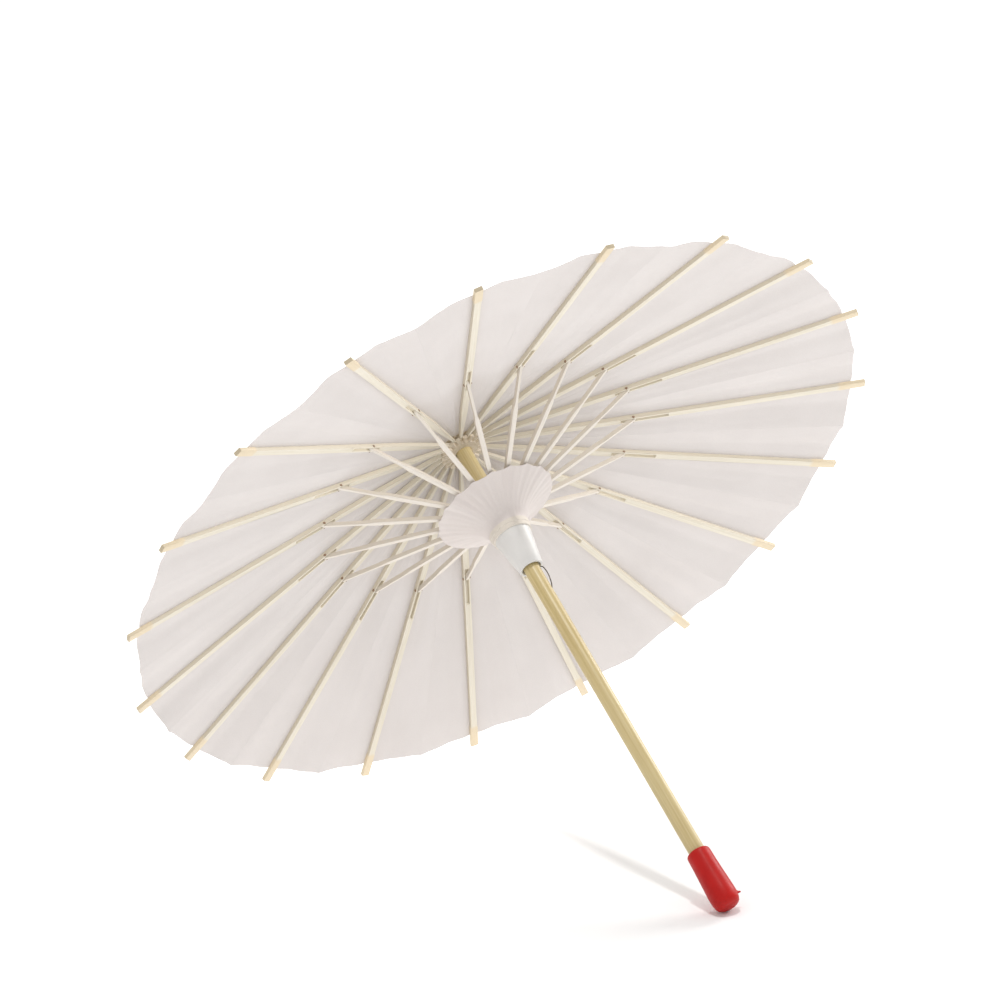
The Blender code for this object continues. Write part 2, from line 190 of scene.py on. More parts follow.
PIN = INTO_UMBRELLA @ Vector(joint_named("stretcher_01_fold")["pos_m"])
PIN_RADIAL = math.hypot(PIN.x, PIN.y)
PIN_HEIGHT = PIN.z
RUNNER_HEIGHT = 2 * PIN_HEIGHT
STRETCHER_SLOPE = math.atan2(-PIN_HEIGHT, PIN_RADIAL - PIVOT_RADIUS)
SLEEVE_FOOT = -78.5 * MM
MOUTH_RADIUS = 5.0 * MM
MOUTH_EDGE = 5 * MM
SLEEVE_END_RADIUS = 6.1 * MM
SPRUE_AZIMUTH = math.radians(-8)
SPRUE_TURN = math.radians(100)
SPRUE_RADIUS = 6.35 * MM
SPRUE_HEIGHT = 5.5 * MM
CATCH_WIRE_RADIUS = 0.28 * MM
HANDLE_END = (INTO_UMBRELLA @ Vector(frame["record"]["mounts"][0]["pos_m"])).z


def part_frame(kind, index):
    """A matrix from a rib's or stretcher's own frame, +X along it and +Z up, to the world."""
    azimuth = azimuth_of(index)
    if kind == "rib":
        place = polar(PIVOT_RADIUS, azimuth, 0)
        turn = Matrix.Rotation(azimuth, 4, "Z") @ Matrix.Rotation(RIB_SLOPE, 4, "Y")
    else:
        place = polar(PIN_RADIAL, azimuth, PIN_HEIGHT)
        turn = Matrix.Rotation(azimuth + math.pi, 4, "Z") @ Matrix.Rotation(STRETCHER_SLOPE, 4, "Y")
    return UMBRELLA @ Matrix.Translation(place) @ turn


# ---------------------------------------------------------------- meshes

def link(name, mesh, look, smooth_angle=None):
    made = bpy.data.objects.new(name, mesh)
    bpy.context.scene.collection.objects.link(made)
    mesh.materials.clear()
    mesh.materials.append(look)
    mesh.shade_smooth()
    if smooth_angle is not None:
        mesh.set_sharp_from_angle(angle=math.radians(smooth_angle))
    return made


def mesh_of(name, points, faces, to_world=UMBRELLA, recalculate=True):
    """A mesh from points in a local frame. The local places are kept in the grain attribute."""
    mesh = bpy.data.meshes.new(name)
    mesh.from_pydata([tuple(to_world @ Vector(point)) for point in points], [], faces)
    if recalculate:
        work = bmesh.new()
        work.from_mesh(mesh)
        bmesh.ops.recalc_face_normals(work, faces=work.faces)
        work.to_mesh(mesh)
        work.free()
    store_grain(mesh, points)
    return mesh


def store_grain(mesh, points):
    grain = mesh.attributes.new("grain", "FLOAT_VECTOR", "POINT")
    for item, point in zip(grain.data, points):
        item.vector = point


def add_modifier(item, kind, **values):
    modifier = item.modifiers.new(kind.lower(), kind)
    for key, value in values.items():
        setattr(modifier, key, value)
    return modifier


def apply_modifiers(item):
    graph = bpy.context.evaluated_depsgraph_get()
    mesh = bpy.data.meshes.new_from_object(item.evaluated_get(graph), preserve_all_data_layers=True,
                                           depsgraph=graph)
    old = item.data
    item.data = mesh
    item.modifiers.clear()
    bpy.data.meshes.remove(old)


def turned(name, outline, steps):
    """Turn a closed outline of (radius, height) points about the shaft. Radius 0 is a pole."""
    points = []
    rows = []
    for radius, height in outline:
        if radius == 0:
            rows.append([len(points)] * steps)
            points.append((0, 0, height))
            continue
        rows.append(list(range(len(points), len(points) + steps)))
        for step in range(steps):
            points.append(tuple(polar(radius, 2 * math.pi * step / steps, height)))
    faces = []
    for row, following in zip(rows, rows[1:] + rows[:1]):
        for step in range(steps):
            after = (step + 1) % steps
            corners = [row[step], row[after], following[after], following[step]]
            corners = list(dict.fromkeys(corners))
            if len(corners) > 2:
                faces.append(corners)
    return mesh_of(name, points, faces)


def refined(node, to_local, bevel, look, smooth_angle=40, reshape=None, web=None):
    """A finer copy of a CAD node: flat faces joined up, edges rounded, smooth shaded.

    reshape, when given, moves each corner in the local frame. web, when given, is the middle and
    the size of a thin web left standing in the local frame.
    """
    source = frame["nodes"][node].data
    work = bmesh.new()
    work.from_mesh(source)
    bmesh.ops.remove_doubles(work, verts=work.verts, dist=0.01 * MM)
    bmesh.ops.dissolve_limit(work, angle_limit=math.radians(1), verts=work.verts, edges=work.edges)
    into = to_local.inverted()
    if reshape is not None:
        for corner in work.verts:
            corner.co = to_local @ reshape(into @ corner.co)
    if web is not None:
        middle, size = web
        in_local = Matrix.Translation(middle) @ Matrix.Diagonal((*size, 1))
        bmesh.ops.create_cube(work, matrix=to_local @ in_local)
    mesh = bpy.data.meshes.new(node + "_fine")
    work.to_mesh(mesh)
    work.free()
    made = link(node + "_fine", mesh, look)
    if bevel:
        add_modifier(made, "BEVEL", width=bevel, segments=2, limit_method="ANGLE",
                     angle_limit=math.radians(32), use_clamp_overlap=True)
        apply_modifiers(made)
    made.data.shade_smooth()
    made.data.set_sharp_from_angle(angle=math.radians(smooth_angle))
    store_grain(made.data, [into @ corner.co for corner in made.data.vertices])
    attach(made, body_with(node))
    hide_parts(node)
    return made


def body_with(node):
    for body, nodes in frame["record"]["behaviour"]["bodies"].items():
        if node in nodes:
            return body
    raise KeyError(node)


# ---------------------------------------------------------------- materials

class Nodes:
    """Short calls for building one material's node tree."""

    def __init__(self, name):
        self.material = bpy.data.materials.new(name)
        self.material.use_nodes = True
        self.tree = self.material.node_tree
        self.shader = self.tree.nodes["Principled BSDF"]

    def node(self, kind, **values):
        made = self.tree.nodes.new(kind)
        for key, value in values.items():
            setattr(made, key, value)
        return made

    def wire(self, output, target):
        self.tree.links.new(output, target)

    def grain(self, scale, shift=None):
        """The grain attribute in millimetres, stretched by scale."""
        source = self.node("ShaderNodeAttribute", attribute_name="grain")
        mapping = self.node("ShaderNodeMapping")
        mapping.inputs["Scale"].default_value = [1000 * part for part in scale]
        self.wire(source.outputs["Vector"], mapping.inputs["Vector"])
        if shift is not None:
            self.wire(shift, mapping.inputs["Location"])
        return mapping.outputs["Vector"]

    def piece_shift(self, size=50.0):
        """A different place in the pattern for each object."""
        info = self.node("ShaderNodeObjectInfo")
        value = self.node("ShaderNodeMath", operation="MULTIPLY")
        value.inputs[1].default_value = size
        self.wire(info.outputs["Random"], value.inputs[0])
        joined = self.node("ShaderNodeCombineXYZ")
        for axis in "XYZ":
            self.wire(value.outputs[0], joined.inputs[axis])
        return joined.outputs[0]

    def noise(self, vector, scale=1.0, detail=4.0, roughness=0.55):
        made = self.node("ShaderNodeTexNoise")
        made.inputs["Scale"].default_value = scale
        made.inputs["Detail"].default_value = detail
        made.inputs["Roughness"].default_value = roughness
        self.wire(vector, made.inputs["Vector"])
        return made.outputs["Fac"]

    def ramp(self, fac, stops):
        made = self.node("ShaderNodeValToRGB")
        elements = made.color_ramp.elements
        while len(elements) < len(stops):
            elements.new(0.5)
        for element, (place, colour) in zip(elements, stops):
            element.position = place
            element.color = (*colour, 1)
        self.wire(fac, made.inputs["Fac"])
        return made.outputs["Color"]

    def spread(self, fac, low, high, from_low=0.0, from_high=1.0):
        made = self.node("ShaderNodeMapRange")
        made.inputs["From Min"].default_value = from_low
        made.inputs["From Max"].default_value = from_high
        made.inputs["To Min"].default_value = low
        made.inputs["To Max"].default_value = high
        self.wire(fac, made.inputs["Value"])
        return made.outputs["Result"]

    def blend(self, fac, first, second, how="MIX"):
        made = self.node("ShaderNodeMix", data_type="RGBA", blend_type=how)
        if isinstance(fac, float):
            made.inputs["Factor"].default_value = fac
        else:
            self.wire(fac, made.inputs["Factor"])
        for value, socket in ((first, made.inputs[6]), (second, made.inputs[7])):
            if isinstance(value, tuple):
                socket.default_value = (*value, 1)
            else:
                self.wire(value, socket)
        return made.outputs[2]

    def bump(self, height, strength, distance, after=None):
        made = self.node("ShaderNodeBump")
        made.inputs["Strength"].default_value = strength
        made.inputs["Distance"].default_value = distance
        self.wire(height, made.inputs["Height"])
        if after is not None:
            self.wire(after, made.inputs["Normal"])
        return made.outputs["Normal"]

    def finish(self, colour=None, roughness=None, normal=None, **fixed):
        if colour is not None:
            self.wire(colour, self.shader.inputs["Base Color"])
        if roughness is not None:
            self.wire(roughness, self.shader.inputs["Roughness"])
        if normal is not None:
            self.wire(normal, self.shader.inputs["Normal"])
        for key, value in fixed.items():
            self.shader.inputs[key.replace("_", " ")].default_value = value
        return self.material


def paper_material(name, light, dark, fibre_strength=0.25):
    """Thin mulberry paper: long pale fibres, cloudy thickness, faint oil stains."""
    made = Nodes(name)
    shift = made.piece_shift(20.0)
    clouds = made.noise(made.grain((0.02, 0.02, 0.02), shift), 1.0, 3.0)
    fibres = made.noise(made.grain((0.35, 0.35, 0.35), shift), 6.0, 6.0, 0.7)
    colour = made.ramp(clouds, [(0.3, dark), (0.7, light)])
    threads = made.ramp(fibres, [(0.35, (0.93, 0.92, 0.91)), (0.6, (1, 1, 1))])
    colour = made.blend(0.55, colour, threads, "MULTIPLY")
    rough = made.spread(fibres, 0.62, 0.8)
    creases = made.noise(made.grain((0.05, 0.05, 0.05), shift), 2.0, 5.0, 0.6)
    normal = made.bump(fibres, fibre_strength, 0.08 * MM)
    normal = made.bump(creases, 0.25, 0.8 * MM, normal)
    return made.finish(colour, rough, normal, Specular_IOR_Level=0.25)


def bamboo_material(name, pale, deep, side, tip_from=None):
    """Split bamboo: straight fibre bundles, side faces in a darker tone that is partly the cut sides' own
    tan and partly painted shade, and, if asked, a bare browner tip.
    """
    made = Nodes(name)
    shift = made.piece_shift(40.0)
    bundles = made.noise(made.grain((0.02, 1.4, 1.4), shift), 1.0, 5.0, 0.65)
    pores = made.noise(made.grain((0.06, 5.0, 5.0), shift), 1.0, 3.0, 0.6)
    colour = made.ramp(bundles, [(0.3, deep), (0.62, pale)])
    streaks = made.ramp(pores, [(0.3, (0.86, 0.8, 0.7)), (0.5, (1, 1, 1))])
    colour = made.blend(0.5, colour, streaks, "MULTIPLY")
    place = made.node("ShaderNodeSeparateXYZ")
    source = made.node("ShaderNodeAttribute", attribute_name="grain")
    made.wire(source.outputs["Vector"], place.inputs[0])
    # Side faces take the side colour: the cut sides' tan with painted shade added on top.
    flank = made.node("ShaderNodeAttribute", attribute_name="flank")
    colour = made.blend(flank.outputs["Fac"], colour, side)
    if tip_from is not None:
        bare = made.spread(place.outputs["X"], 0.0, 0.75, tip_from, tip_from + 2 * MM)
        colour = made.blend(bare, colour, (0.68, 0.56, 0.38))
        end_grain = made.spread(place.outputs["X"], 0.0, 0.6, RIB_LENGTH - 0.4 * MM, RIB_LENGTH)
        colour = made.blend(end_grain, colour, (0.40, 0.33, 0.22))
    rough = made.spread(pores, 0.42, 0.62)
    normal = made.bump(bundles, 0.3, 0.12 * MM)
    normal = made.bump(pores, 0.2, 0.04 * MM, normal)
    return made.finish(colour, rough, normal, Specular_IOR_Level=0.4)


def dowel_material():
    """A planed bamboo dowel with a thin clear coat: honey colour, fine lengthwise streaks."""
    made = Nodes("honey_bamboo")
    bundles = made.noise(made.grain((1.1, 1.1, 0.012)), 1.0, 6.0, 0.6)
    pores = made.noise(made.grain((4.0, 4.0, 0.08)), 1.0, 3.0, 0.6)
    clouds = made.noise(made.grain((0.05, 0.05, 0.02)), 1.0, 2.0)
    colour = made.ramp(bundles, [(0.3, (0.50, 0.40, 0.18)), (0.5, (0.58, 0.47, 0.235)),
                                 (0.72, (0.64, 0.54, 0.30))])
    streaks = made.ramp(pores, [(0.32, (0.82, 0.76, 0.62)), (0.5, (1, 1, 1))])
    colour = made.blend(0.5, colour, streaks, "MULTIPLY")
    tint = made.ramp(clouds, [(0.3, (0.94, 0.9, 0.84)), (0.7, (1, 1, 1))])
    colour = made.blend(0.8, colour, tint, "MULTIPLY")
    rough = made.spread(bundles, 0.34, 0.5)
    normal = made.bump(bundles, 0.25, 0.1 * MM)
    normal = made.bump(pores, 0.15, 0.03 * MM, normal)
    return made.finish(colour, rough, normal, Coat_Weight=0.25, Coat_Roughness=0.3)


def wood_material(name, pale, deep):
    """Turned wood with annual rings seen on the end and streaks along the side."""
    made = Nodes(name)
    warp = made.noise(made.grain((0.12, 0.12, 0.03)), 1.0, 2.0)
    streak = made.noise(made.grain((0.9, 0.9, 0.06)), 1.0, 5.0, 0.6)
    colour = made.ramp(streak, [(0.3, deep), (0.65, pale)])
    shade = made.ramp(warp, [(0.35, (0.88, 0.83, 0.76)), (0.65, (1, 1, 1))])
    colour = made.blend(0.8, colour, shade, "MULTIPLY")
    normal = made.bump(streak, 0.3, 0.08 * MM)
    return made.finish(colour, made.spread(streak, 0.45, 0.62), normal)


def lacquer_material():
    """Glossy red moulding with a faint orange peel and a few handling marks."""
    made = Nodes("red_gloss")
    clouds = made.noise(made.grain((0.08, 0.08, 0.05)), 1.0, 3.0)
    peel = made.noise(made.grain((0.9, 0.9, 0.6)), 1.0, 2.0)
    rubs = made.noise(made.grain((0.5, 0.5, 0.1)), 1.5, 5.0, 0.7)
    colour = made.ramp(clouds, [(0.3, (0.40, 0.007, 0.006)), (0.7, (0.51, 0.013, 0.010))])
    rough = made.spread(rubs, 0.34, 0.55, 0.35, 0.75)
    normal = made.bump(peel, 0.12, 0.05 * MM)
    return made.finish(colour, rough, normal, Specular_IOR_Level=0.2)


def plastic_material():
    """White moulded plastic, slightly grey and satin, with fine scuffs along the slide."""
    made = Nodes("white_satin_plastic")
    clouds = made.noise(made.grain((0.06, 0.06, 0.06)), 1.0, 3.0)
    scuffs = made.noise(made.grain((1.2, 1.2, 0.1)), 1.0, 5.0, 0.7)
    colour = made.ramp(clouds, [(0.3, (0.63, 0.62, 0.60)), (0.7, (0.70, 0.69, 0.67))])
    marks = made.ramp(scuffs, [(0.28, (0.9, 0.89, 0.86)), (0.42, (1, 1, 1))])
    colour = made.blend(0.6, colour, marks, "MULTIPLY")
    normal = made.bump(scuffs, 0.12, 0.04 * MM)
    return made.finish(colour, made.spread(scuffs, 0.3, 0.5), normal, Specular_IOR_Level=0.5)


def wire_material():
    """Dark annealed spring wire with drawn lines and a trace of rust."""
    made = Nodes("dark_wire_drawn")
    source = made.node("ShaderNodeTexCoord").outputs["Object"]
    stretch = made.node("ShaderNodeMapping")
    stretch.inputs["Scale"].default_value = (900, 900, 900)
    made.wire(source, stretch.inputs["Vector"])
    spots = made.noise(stretch.outputs["Vector"], 1.0, 4.0, 0.6)
    colour = made.ramp(spots, [(0.35, (0.06, 0.05, 0.045)), (0.6, (0.17, 0.15, 0.13)),
                               (0.8, (0.2, 0.12, 0.07))])
    normal = made.bump(spots, 0.2, 0.03 * MM)
    return made.finish(colour, made.spread(spots, 0.28, 0.5), normal, Metallic=0.85)


def thread_material():
    """Brown cotton thread: fine twisted strands."""
    made = Nodes("brown_thread")
    source = made.node("ShaderNodeTexCoord").outputs["Object"]
    strands = made.node("ShaderNodeTexWave", wave_type="BANDS", bands_direction="DIAGONAL")
    strands.inputs["Scale"].default_value = 1400
    strands.inputs["Distortion"].default_value = 1.5
    made.wire(source, strands.inputs["Vector"])
    colour = made.ramp(strands.outputs["Fac"], [(0.1, (0.16, 0.09, 0.05)), (0.8, (0.36, 0.23, 0.14))])
    normal = made.bump(strands.outputs["Fac"], 0.6, 0.08 * MM)
    return made.finish(colour, None, normal, Roughness=0.85, Sheen_Weight=0.2)


def floor_material():
    """A white studio table with a soft light inside it, so that no wide shadow shows."""
    made = Nodes("studio_floor")
    source = made.node("ShaderNodeTexCoord").outputs["Object"]
    soft = made.noise(source, 1.5, 2.0)
    colour = made.ramp(soft, [(0.3, (0.93, 0.93, 0.93)), (0.7, (0.94, 0.94, 0.94))])
    away = made.node("ShaderNodeVectorMath", operation="DISTANCE")
    away.inputs[1].default_value = SHADE_CENTRE
    made.wire(source, away.inputs[0])
    glow = made.node("ShaderNodeMapRange", interpolation_type="SMOOTHSTEP")
    glow.inputs["From Min"].default_value = SHADE_NEAR
    glow.inputs["From Max"].default_value = SHADE_REACH
    glow.inputs["To Min"].default_value = GLOW_NEAR
    glow.inputs["To Max"].default_value = GLOW_AWAY
    made.wire(away.outputs["Value"], glow.inputs["Value"])
    made.wire(glow.outputs["Result"], made.shader.inputs["Emission Strength"])
    return made.finish(colour, None, None, Roughness=0.7, Specular_IOR_Level=0.1,
                       Emission_Color=(1, 1, 1, 1))


PAPER = paper_material("oiled_canopy_paper", (0.66, 0.625, 0.61), (0.62, 0.585, 0.57))
FAN_PAPER = paper_material("white_fan_paper", (0.67, 0.62, 0.595), (0.63, 0.575, 0.55), 0.15)
BAND_PAPER = paper_material("cream_band_paper", (0.70, 0.65, 0.58), (0.65, 0.60, 0.53), 0.15)
# The third colour of each bamboo, used on its side faces, is the cut sides' tan darkened with painted
# shade.
RIB_BAMBOO = bamboo_material("rib_bamboo_fibre", (0.73, 0.685, 0.59), (0.65, 0.60, 0.49),
                             (0.58, 0.52, 0.41), tip_from=TIP_BARE_FROM)
STRETCHER_BAMBOO = bamboo_material("stretcher_bamboo_fibre", (0.74, 0.69, 0.63), (0.67, 0.615, 0.54),
                                   (0.58, 0.52, 0.44))
HONEY = dowel_material()
PALE_WOOD = wood_material("turned_pale_wood", (0.68, 0.61, 0.50), (0.58, 0.50, 0.38))
RED = lacquer_material()
PLASTIC = plastic_material()
WIRE = wire_material()
THREAD = thread_material()


# ---------------------------------------------------------------- canopy

def on_rib(index, along, lift=PAPER_LIFT):
    """A point over a rib's middle line, in the umbrella's frame."""
    radius = PIVOT_RADIUS + along * math.cos(RIB_SLOPE) + lift * math.sin(RIB_SLOPE)
    height = lift * math.cos(RIB_SLOPE) - along * math.sin(RIB_SLOPE)
    return polar(radius, azimuth_of(index), height)


def gore_noise(gore, seed, across, along):
    return noise.noise(Vector((gore * 5.17 + seed * 31.7 + across, seed * 3.1 + along, gore * 2.3)))


def rim_reach(gore, across):
    """How far along the ribs the paper reaches. across runs from 0 on one rib to 1 on the next."""
    from_middle = abs(2 * across - 1)
    round_rim = RIM_ROUND * (1 - from_middle ** 2)
    cusp = RIM_CUSP * max(0.0, 1 - from_middle / 0.16)
    pinch = -RIM_PINCH * max(0.0, (from_middle - 0.8) / 0.2) ** 2
    ripple = RIM_RIPPLE * gore_noise(gore, 4, 3.0 * across, 0) * (1 - from_middle ** 4)
    return PAPER_END + round_rim + cusp + pinch + ripple


def gore_relief(gore, across, along):
    """How far the paper stands off the flat gore: the old fold lines and soft wrinkles."""
    out = along / PAPER_END
    from_middle = abs(2 * across - 1)
    depth = (FOLD_DEPTH + FOLD_DEPTH_SPREAD * gore_noise(gore, 1, 0, 0)) * MM
    fold = -depth * out ** 1.2 * max(0.0, 1 - from_middle / 0.55)
    shoulder = SHOULDER_RISE * out * max(0.0, 1 - abs(from_middle - 0.6) / 0.3)
    window = 1 - from_middle ** 4
    wrinkle = WRINKLE_RISE * gore_noise(gore, 2, 7.0 * across, 2.2 * out) * out ** 0.5 * window
    fine = FINE_WRINKLE_RISE * gore_noise(gore, 3, 19.0 * across, 5.0 * out) * window
    return fold + shoulder + wrinkle + fine


def on_gore(gore, across, out, flat=False):
    """A point of the paper between rib `gore` and the next.

    across runs from 0 on one rib to 1 on the next, and out from 0 at the hub to 1 at the rim.
    """
    along = PAPER_START + (rim_reach(gore, across) - PAPER_START) * out
    here = on_rib(gore, along)
    after = on_rib(gore + 1, along)
    place = here.lerp(after, across)
    if flat:
        return place
    outward = on_rib(gore, along + MM).lerp(on_rib(gore + 1, along + MM), across) - place
    normal = outward.cross(after - here).normalized()
    if normal.z < 0:
        normal.negate()
    return place + normal * gore_relief(gore, across, along)


def edge_share(gore, out):
    """Where the glued strip on a rib ends, as a share of the gore's width."""
    along = PAPER_START + (PAPER_END - PAPER_START) * out
    chord = (on_rib(gore + 1, along) - on_rib(gore, along)).length
    half = min(STRIP_HALF, STRIP_HALF_AT_HUB + STRIP_WIDENING * along)
    return min(half / chord, 0.5)


def grid_faces(rows, columns):
    faces = []
    for row in range(rows):
        for column in range(columns):
            start = row * (columns + 1) + column
            faces.append((start, start + 1, start + columns + 2, start + columns + 1))
    return faces


def sheet_area(mesh):
    return sum(face.area for face in mesh.polygons)


def paper_piece(name, points, rows, columns, look, thickness=PAPER_THICKNESS):
    """A paper sheet from a grid of points, with its flat area measured before it gets a thickness."""
    mesh = mesh_of(name, points, grid_faces(rows, columns), recalculate=False)
    made = link(name, mesh, look)
    area = sheet_area(mesh)
    add_modifier(made, "SOLIDIFY", thickness=thickness, offset=0.0, use_even_offset=True)
    apply_modifiers(made)
    made.data.shade_smooth()
    made.data.set_sharp_from_angle(angle=math.radians(50))
    return made, area


def add_wing(rib, side):
    """Half of a gore, glued along one rib. side is 1 towards the next rib and -1 towards the last.
    """
    gore = rib if side > 0 else rib - 1
    points = []
    for row in range(WING_ROWS + 1):
        out = row / WING_ROWS
        edge = edge_share(gore, out)
        for column in range(WING_COLUMNS + 1):
            share = edge + (0.5 - edge) * column / WING_COLUMNS
            across = share if side > 0 else 1 - share
            points.append(on_gore(gore, across, out))
    word = "right" if side > 0 else "left"
    made, area = paper_piece(f"paper_{rib + 1:02d}_{word}", points, WING_ROWS, WING_COLUMNS, PAPER)
    body = f"rib_{rib + 1:02d}_body"
    halfway_edge = edge_share(gore, 0.5)
    strip_edge = on_gore(gore, halfway_edge if side > 0 else 1 - halfway_edge, 0.5, True)
    beyond = on_gore(gore, 0.5, 0.5, True)
    sideways = (beyond - strip_edge).normalized()
    up = part_frame("rib", rib).to_3x3() @ Vector((0, 0, 1))
    sideways_world = UMBRELLA.to_3x3() @ sideways
    along_world = part_frame("rib", rib).to_3x3() @ Vector((1, 0, 0))
    level = along_world.cross(up).normalized()
    if level.dot(sideways_world) < 0:
        level.negate()
    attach(made, body)
    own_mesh(made)
    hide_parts("canopy")
    width = (on_gore(gore, 0.5, 1, True) - on_gore(gore, 0 if side > 0 else 1, 1, True)).length


def add_strip(rib):
    """The paper glued down along one rib's top, pressed a little over its edges."""
    points = []
    for row in range(WING_ROWS + 1):
        out = row / WING_ROWS
        left = 1 - edge_share(rib - 1, out)
        right = edge_share(rib, out)
        along = PAPER_START + (rim_reach(rib, 0) - PAPER_START) * out
        middle = on_rib(rib, along)
        raised = on_rib(rib, along, PAPER_LIFT + STRIP_EDGE_LIFT)
        left_edge = on_gore(rib - 1, left, out)
        right_edge = on_gore(rib, right, out)
        points += [left_edge,
                   raised + (left_edge - middle) * 0.5,
                   on_rib(rib, along, PAPER_LIFT + STRIP_MIDDLE_LIFT),
                   raised + (right_edge - middle) * 0.5,
                   right_edge]
    made, _ = paper_piece(f"paper_{rib + 1:02d}_glued", points, WING_ROWS, 4, PAPER)
    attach(made, f"rib_{rib + 1:02d}_body")
    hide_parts("canopy")
    return made


def add_canopy():
    for rib in range(RIB_COUNT):
        strip = add_strip(rib)
        add_wing(rib, 1)
        add_wing(rib, -1)


# ---------------------------------------------------------------- fan and crown

def on_fan(radius, azimuth, turn):
    """A point of the fan. turn runs from -1 to 1 across one stretcher's share."""
    out = (radius - FAN_INNER) / (FAN_OUTER - FAN_INNER)
    under = RUNNER_HEIGHT + (FAN_OUTER - PIVOT_RADIUS) * math.tan(STRETCHER_SLOPE)
    rim = under - FAN_UNDER_PIVOTS
    rise = (rim - FAN_NECK_HEIGHT) * math.sqrt(max(out, 0))
    grown = math.sin(math.pi * min(out * 1.4, 1) / 2)
    pleat = -FAN_PLEAT * grown * (1 - math.cos(2 * math.pi * turn)) / 2
    sag = -FAN_SAG * out * (1 - math.cos(math.pi * turn)) / 2
    return polar(radius, azimuth, FAN_NECK_HEIGHT + rise + pleat + sag)


def fan_rows(index, inner, outer, rows, columns):
    """Rows of points across one stretcher's share, evenly spaced up the curve of the fan."""
    points = []
    low = math.sqrt((inner - FAN_INNER) / (FAN_OUTER - FAN_INNER))
    high = math.sqrt((outer - FAN_INNER) / (FAN_OUTER - FAN_INNER))
    for row in range(rows + 1):
        step = low + (high - low) * row / rows
        radius = FAN_INNER + (FAN_OUTER - FAN_INNER) * step * step
        for column in range(columns + 1):
            turn = 2 * column / columns - 1
            edge = FAN_RIM_WAVE * math.cos(math.pi * turn) if radius > FAN_RIM_EDGE else 0
            points.append(on_fan(radius + edge, azimuth_of(index) + turn * RIB_PITCH / 2, turn))
    return points


def add_fan():
    """The pleated paper fan: its neck on the runner, then one panel glued under each stretcher."""
    for index in range(RIB_COUNT):
        stretcher = f"stretcher_{index + 1:02d}"
        points = fan_rows(index, FAN_INNER, FAN_SPLIT + FAN_LAP, FAN_NECK_ROWS, FAN_COLUMNS)
        neck, _ = paper_piece(f"fan_neck_{index + 1:02d}", points, FAN_NECK_ROWS, FAN_COLUMNS, FAN_PAPER)
        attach(neck, "runner")
        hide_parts("fan_paper")
        points = fan_rows(index, FAN_SPLIT, FAN_OUTER, FAN_ROWS, FAN_COLUMNS)
        made, area = paper_piece(f"fan_{index + 1:02d}", points, FAN_ROWS, FAN_COLUMNS, FAN_PAPER)
        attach(made, stretcher + "_body")
        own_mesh(made)
        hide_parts("fan_paper")


def crown_wave(radius, angle):
    """Small gathers in the crown, deepest at its hem."""
    reach = max(0.0, (radius - 8 * MM) / (16 * MM))
    even = 0.22 * math.sin(angle * 2 * RIB_COUNT)
    loose = 0.3 * noise.noise(Vector((8 * angle, radius * 200, 3)))
    return (even + loose) * MM * reach


def crown_points(profile, start, end, columns):
    points = []
    for radius, height in profile:
        for column in range(columns + 1):
            angle = start + (end - start) * column / columns
            points.append(polar(radius * MM, angle, height * MM + crown_wave(radius * MM, angle)))
    return points


def add_crown():
    """The paper crown glued over the hub: a cap in the middle, and a skirt that bends with the ribs."""
    profile = [(5.2, 9.8), (7.0, 9.8), (9.0, 9.3), (11.2, 8.2), (12.8, 7.0), (13.7, 5.6), (14.5, 3.7)]
    columns = CROWN_COLUMNS * RIB_COUNT
    points = crown_points(profile, 0, 2 * math.pi, columns)
    middle, area = paper_piece("crown_middle", points, len(profile) - 1, columns, PAPER,
                               CROWN_MIDDLE_THICKNESS)
    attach(middle, "root")
    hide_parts("crown_paper")
    skirt = [(14.2, 3.5), (14.6, 3.05), (15.2, 2.6), (16.5, 1.8), (18.2, 1.1), (20.0, 0.45),
             (22.0, -0.35), (24.2, -1.1)]
    for rib in range(RIB_COUNT):
        azimuth = azimuth_of(rib)
        start, end = azimuth - RIB_PITCH / 2, azimuth + RIB_PITCH / 2
        points = crown_points(skirt, start, end, CROWN_COLUMNS)
        made, _ = paper_piece(f"crown_skirt_{rib + 1:02d}", points, len(skirt) - 1, CROWN_COLUMNS, PAPER,
                              CROWN_SKIRT_THICKNESS)
        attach(made, f"rib_{rib + 1:02d}_body")
        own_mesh(made)
        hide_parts("crown_paper")


# ---------------------------------------------------------------- bamboo

def mark_cut_sides_and_shade(item, direction):
    """Store 1 on the faces that look sideways, where the bamboo was split and where painted shade goes,
    and 0 elsewhere.
    """
    mesh = item.data
    flank = mesh.attributes.new("flank", "FLOAT", "FACE")
    for value, face in zip(flank.data, mesh.polygons):
        value.value = max(0.0, (abs(face.normal.dot(direction)) - 0.5) / 0.5)


def thinner_rib(point):
    """Plane a rib down to a thin split lath, leaving the line of its pin where it was."""
    if point.z > 0:
        return Vector((point.x, point.y, point.z * RIB_TOP_KEEP))
    if point.z < PIN_LINE:
        planed = PIN_LINE + (point.z - PIN_LINE) * RIB_UNDERSIDE_KEEP
        return Vector((point.x, point.y, planed))
    return point


def thinner_stretcher(point):
    return Vector((point.x, point.y, point.z * STRETCHER_KEEP))


def add_ribs():
    for index in range(RIB_COUNT):
        rib_place = part_frame("rib", index)
        pin = rib_place.inverted() @ Vector(joint_named(f"stretcher_{index + 1:02d}_fold")["pos_m"])
        web = (Vector((pin.x + SLOT_MIDDLE, 0, WEB_HEIGHT)), (SLOT_LENGTH, SLOT_WIDTH, WEB_THICKNESS))
        rib = refined(f"rib_{index + 1:02d}", rib_place, 0.2 * MM, RIB_BAMBOO,
                      reshape=thinner_rib, web=web)
        mark_cut_sides_and_shade(rib, rib_place.to_3x3() @ Vector((0, 1, 0)))
        stretcher_place = part_frame("stretcher", index)
        stretcher = refined(f"stretcher_{index + 1:02d}", stretcher_place, 0.15 * MM, STRETCHER_BAMBOO,
                            reshape=thinner_stretcher)
        mark_cut_sides_and_shade(stretcher, stretcher_place.to_3x3() @ Vector((0, 1, 0)))


